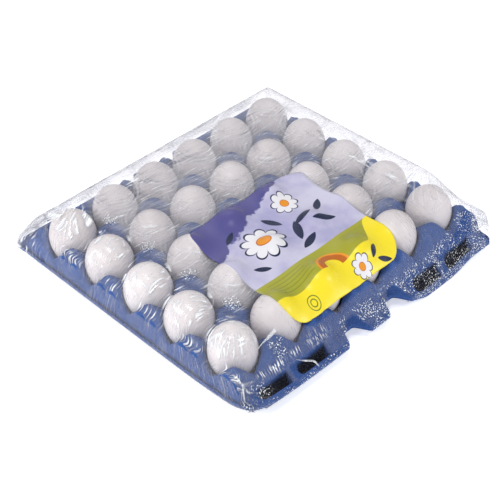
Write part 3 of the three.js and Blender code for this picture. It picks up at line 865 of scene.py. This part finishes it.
def laid_flat(points):
    """A map in metres: the length along the film from its middle line to each point, both ways."""
    along_x = np.cumsum(np.linalg.norm(np.diff(points, axis=0, prepend=points[:1]), axis=-1), axis=0)
    along_y = np.cumsum(np.linalg.norm(np.diff(points, axis=1, prepend=points[:, :1]), axis=-1), axis=1)
    rows, columns = along_x.shape
    along_x = along_x - along_x[rows // 2]
    along_y = along_y - along_y[:, columns // 2, None]
    return np.stack([along_x, along_y], axis=-1) * MM


def near_sides(x, y):
    """Where the film runs down the near sides, 0 to 1: the narrow lip's first, then the broad one's."""
    down_x = ease((-102 - x) / 10) * ease((y - x + 6) / 12)
    return down_x, ease((-84 - y) / 16) * (1 - down_x)


def covered_share(x, y):
    """1 where the film lies on the label or bridges a finger notch on the near side."""
    middle, half = (LABEL_LOW + LABEL_HIGH) / 2, (LABEL_HIGH - LABEL_LOW) / 2
    ax, ay = (np.abs(at - middle[axis]) - half[axis] + LABEL_ROUND for axis, at in enumerate((x, y)))
    inside = LABEL_ROUND - np.hypot(np.maximum(ax, 0), np.maximum(ay, 0))
    cut = notch_depth(x)
    over_notch = (y < 0) * ease(cut / 2) * ease((cut - y - EDGE_Y) / 1.5)
    return np.maximum(ease(inside / 2.5 + 0.5), over_notch)


def pocket_front(x, y):
    """1 where the film hangs in front of a pocket on the near side, a little aside of it."""
    ahead = np.where(x < 0, 7.5, 11.5)
    front = np.maximum(pocket_share(x + ahead - 3), pocket_share(x + ahead + 3))
    return front * ease((-y - HALF_Y - 13) / 1.5) * ease((y + HALF_Y + 25.5) / 1.5)


def film_shades(x, y, height):
    """The shades that the film's finish reads, 0 to about 1 at each point of the film.

    haze is the milky veil over the eggs, bare the film that lies too tight to show, down_x and
    down_y the two near sides and gap the film between eggs. shoulder_glint holds painted highlight
    strokes on the posts and the broad slope, crumple_glint_shade the crumples of the broad flange
    with their painted glints and shade, glint and fold_shade the painted highlight and the painted
    shade of single folds, and steep the film that isn't level."""
    down_x, down_y = near_sides(x, y)
    off_x, off_y = in_cell(x, y)
    cell, turn = np.hypot(off_x, off_y), np.arctan2(off_y, off_x)
    post = np.hypot(PITCH_X / 2 - np.abs(off_x), PITCH_Y / 2 - np.abs(off_y))
    tent = np.maximum(ease((x - TENT_X) / 4), ease((y - TENT_Y) / 6))
    over_eggs = ease((x + 110) / 14) * ease((147 - x) / 8) * ease((130 - y) / 8)
    over_eggs = over_eggs * ease((y + 94 + 34 * ease((x - 95) / 8)) / 14)
    last_cell = ease((x - 97) / 4) * ease((-78 - y) / 10)

    # Bare: on the label, at the hem and the rim, and in front of the pockets.
    covered, hole = covered_share(x, y), pocket_front(x, y)
    rim = np.maximum(np.abs(x) - EDGE_X, np.abs(y) - EDGE_Y)
    hem = 0.95 * ease((rim + 1.5) / 1.5) * ease((13.5 - height) / 2)
    crushed = round_bell(x + 147, y + 150, 9)
    brim = ease((-y - EDGE_Y + 3) / 1.5)
    bare = np.maximum(hem, 0.75 * brim * ease((x + 140) / 12)) * (1 - crushed)
    bare = np.maximum(np.maximum(covered, bare), 0.82 * hole)

    # Haze: more towards the far side, less over the posts and the last egg of the near row.
    haze = 0.17 + 0.07 * ease((cell - 10) / 14)
    haze = haze * over_eggs * (1 - bare) * (1 + 0.5 * ease((y - 10) / 70))
    haze = haze * (1 - 0.45 * ease((13 - post) / 6)) * (1 - 0.6 * last_cell)
    haze = haze + 0.22 * ease((-108 - x) / 12) * ease((y - 138) / 6)
    haze = haze + 0.07 * down_x * ease((110 - y) / 10) + 0.05 * down_y * (1 - bare) * (1 - hole)

    # Painted highlight strokes on the posts' shoulders and on the broad slope.
    inner_x, inner_y = np.clip(x, -EDGE_X, EDGE_X), np.clip(y, -EDGE_Y, EDGE_Y)
    tilt = np.arctan(net_height(inner_x, inner_y, net_slope))
    steep = ease((tilt - 0.18) / 0.22)
    shoulder_glint = down_x * bell(tilt - 0.75, 0.26) * ease((height - 25) / 5) * ease((-137 - x) / 3)
    shoulder_glint = 0.7 * shoulder_glint
    for cx, cy, wide, deep, strong in DASHES:
        patch = np.exp(-(((x - cx) / wide) ** 4) - ((y - cy) / deep) ** 2)
        shoulder_glint = np.maximum(shoulder_glint, strong * down_y * patch)

    # Flecks of painted glint and shade among crumples: along the broad rim, at the near corner and
    # on the first posts.
    low = ease((-y - 132) / 8) * ease((x + 50) / 30)
    low = low * ease((EDGE_Y - notch_depth(x) - np.abs(y) + 3.5) / 2)
    low = np.maximum(low, 0.75 * brim * ease((x + 130) / 10))
    low = low * (1 - covered) * (1 - np.maximum(0.5 * hole, 0.15 * brim))
    crumple_glint_shade = np.maximum(0.8 * low, 0.9 * round_bell(x + 131, y + 145, 9))
    crumple_glint_shade = np.maximum(crumple_glint_shade, crushed)
    on_post = 0.8 * (1 - bare) * ease((9 - post) / 3)
    crumple_glint_shade = np.maximum(crumple_glint_shade, on_post * ease((-60 - x) / 20) * ease((x + 130) / 9))
    crumple_glint_shade = crumple_glint_shade * (1 - np.where(y < -118, ease((x - 146) / 5), tent))

    # Painted highlight and shade of folds: the star, the gathers, and loops round the eggs of
    # the far row and between others.
    glint = star_rays(x, y)[1] * (1 - tent)
    glint = glint + 0.8 * gathers(x, y) ** 1.4 * (1 - tent)
    loop = np.sin(2 * math.pi * cell / 3.8 + 1.3 * np.sin(x / 9) + np.sin(y / 7))
    some = ease(0.5 + np.sin(x / 6.1 + 2 * np.sin(y / 5)) * np.sin(x / 13.7))
    far_side = ease((y - 118) / 4) * ease((134 - y) / 6) * ease((cell - 17) / 3) * ease((x + 140) / 6)
    far_side = far_side * np.maximum(some, bell(x + 116, 14))
    inner = over_eggs * (1 - bare) * ease((cell - 17.5) / 2) * ease((26 - cell) / 2)
    inner = inner * some * (1 - far_side)
    fold_shade = (0.8 * far_side + 0.55 * inner) * ease(loop * 1.6 - 0.5)
    glint = glint + (0.3 * far_side + 0.2 * inner) * ease(-loop * 1.6 - 0.9)

    # Painted highlight and shade of the drape over the last egg of the near row, and a painted
    # shadow line along the broad rim.
    last_egg = last_cell * ease((20 - cell) / 3) * (1 - 0.7 * ease((7 - cell) / 5))
    drape = np.sin(2 * math.pi * (x - y) / 9.5 + 0.9 * np.sin((x + y) / 8) + 0.6 * np.sin(x / 3.1))
    glint = glint + 0.36 * last_egg * ease(1.6 * drape - 0.7)
    fold_shade = fold_shade + 0.15 * last_egg * ease(-1.6 * drape - 0.7)
    rim_shade = ease((x + 40) / 30) * ease((-y - EDGE_Y + 2.5) / 1.5) * ease((14.5 - height) / 2)
    fold_shade = fold_shade + 0.8 * rim_shade * ease(1 - notch_depth(x) / 2)

    # Painted shade along threads that run down the tents, and over the pleats of the one over
    # the far left corner.
    on_far_y = y - EDGE_Y > x - EDGE_X
    across = np.where(on_far_y, y + 1.6 * np.sin(x / 17), x + 1.4 * np.sin(y / 15))
    thread = ease(5 * np.sin(2 * math.pi * across / 4.7 + np.sin((x + y) / 11)) - 4)
    thread = thread * ease(np.sin((x - y) / 19) + 0.4)
    fold_shade = fold_shade + np.where(on_far_y, 0.45, 0.75) * tent * thread * ease((height - 16) / 6)
    corner_far = ease((-84 - x) / 22) * ease((y - 122) / 6)
    pleats = np.sin(2 * math.pi * (across + 0.12 * x) / 3.4 + 1.2 * np.sin(x / 7))
    fold_shade = fold_shade + corner_far * (0.22 + 0.45 * ease(1.4 * pleats - 0.2))

    # Painted shade and highlight of ripples on the near flank of the first column's eggs.
    flank = bell(turn + 0.7, 0.55) * ease((cell - 12) / 3) * ease((21 - cell) / 1.5)
    flank = flank * (x < -HALF_X + PITCH_X) * ease((78 - np.abs(y)) / 4) * (1 - tent)
    ripple = np.sin(2 * math.pi * height / 3.1 + 1.5 * np.sin(turn * 5))
    fold_shade = fold_shade + 0.4 * flank * ease(-ripple * 1.5)
    glint = np.maximum(glint, 0.7 * flank * ease(ripple * 1.5))

    gap = 0.25 + 0.75 * ease((cell - 6) / 13)
    gap = gap + down_x * (ease((cell - 19) / 3) - gap)
    gap = gap * (1 - 0.85 * tent)
    return {
        "haze": haze, "bare": bare, "down_x": down_x, "down_y": down_y, "gap": gap,
        "shoulder_glint": shoulder_glint, "crumple_glint_shade": crumple_glint_shade, "glint": glint, "fold_shade": fold_shade, "steep": steep,
    }


def film_piece():
    """The net and its creases, with a skirt of extra lines that goes round the rim and under it."""
    (xs, cap_x), (ys, cap_y) = film_lines(EDGE_X, FINE_X), film_lines(EDGE_Y, FINE_Y)
    x, y = np.meshgrid(xs, ys, indexing="ij")
    inner_x, inner_y = np.clip(x, -EDGE_X, EDGE_X), np.clip(y, -EDGE_Y, EDGE_Y)
    rim = np.maximum(np.abs(x) - EDGE_X, np.abs(y) - EDGE_Y)
    height = net_height(inner_x, inner_y)
    height = height + creases(inner_x, inner_y, *near_sides(x, y)) * ease(-rim / 5)
    sag = np.minimum(cap_x[:, None], cap_y[None, :]) + corner_lift(x, y) - droop(x, y)
    height = np.maximum(np.minimum(height, sag), FILM_LOWEST)
    px, py = round_corner(x, y, EDGE_X + FILM_OUT, EDGE_Y + FILM_OUT, CORNER_RADIUS)
    points = np.stack([*bent_corner(px, py), height], axis=-1)
    faces = grid_faces(len(xs), len(ys)).tolist()
    shades = film_shades(x, y, height)
    return piece_from("shrink_film", points, faces, film_finish(), laid_flat(points), **shades)


film = film_piece()
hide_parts("film")


# ----------------------------------------
# Two loose folds of the same film. One bridges the first two eggs of the near row as a twisted
# strand, the other lies as a curved lip across a pocket of the broad flange. Their milky white is
# partly the layers of film and partly a painted highlight.
def ribbon(name, path, width, twist, finish):
    """A strip of film along a curve: its width varies along it and it turns about it by twist.

    At s from -1 to 1 across, it stands 0.35 (1 - s squared) half widths above the smoothed path."""
    t = np.linspace(0, 1, 41)
    spots = np.array(path, dtype=float)
    marks = np.linspace(0, 1, len(spots))
    line = np.stack([np.interp(t, marks, spots[:, axis]) for axis in range(3)], axis=-1)
    for _ in range(12):
        line[1:-1] = (line[:-2] + 2 * line[1:-1] + line[2:]) / 4
    run = np.gradient(line, axis=0)
    run /= np.linalg.norm(run, axis=1, keepdims=True)
    across = np.cross(run, (0, 0, 1))
    across /= np.linalg.norm(across, axis=1, keepdims=True)
    rise = np.cross(across, run)
    angle = (twist[0] + (twist[1] - twist[0]) * t)[:, None, None]
    half = np.interp(t, np.linspace(0, 1, len(width)), width)[:, None, None]
    s = np.linspace(-1, 1, 9)[None, :, None]
    side = np.cos(angle) * across[:, None] + np.sin(angle) * rise[:, None]
    face = np.cos(angle) * rise[:, None] - np.sin(angle) * across[:, None]
    points = line[:, None] + half * (s * side + 0.35 * (1 - s * s) * face)
    piece_from(name, points, grid_faces(t.size, s.size).tolist(), finish)


def fold_finish():
    """Film folded over on itself: milky and glossy, half see-through, finely streaked.

    Its milky white is partly the layers of film and partly a painted highlight.
    """
    constants = {"Roughness": 0.14, "Base Color": (0.93, 0.94, 0.96, 1)}
    finish, start, shader = new_finish("folded_film", constants)
    place = start.node("TexCoord", output=3)
    streak = place.noise(700, 2, 0.6)
    plug(streak.between(0.3, 0.7) * 0.6 + 0.3, shader, "Alpha")
    plug(start.node("Bump", {"Strength": 0.8, "Distance": 0.0006, "Height": streak}), shader, "Normal")
    return finish


# The folds' white is partly a painted highlight.
milky = fold_finish()
ribbon(
    "film_strand", [(-114.0, -122.5, 42.5), (-107, -121.0, 43.0), (-100, -120.6, 44.5), (-91, -120.0, 46.5)],
    (0.5, 1.2, 2.0, 2.8, 1.8), (0.6, 1.9), milky,
)
ribbon(
    "film_lip", [(-89.5, -141.0, 27.0), (-84, -145.5, 25.0), (-78, -149.0, 23.0), (-75.4, -152.0, 17.0)],
    (0.4, 1.5, 1.3, 0.3), (1.1, 1.5), milky,
)
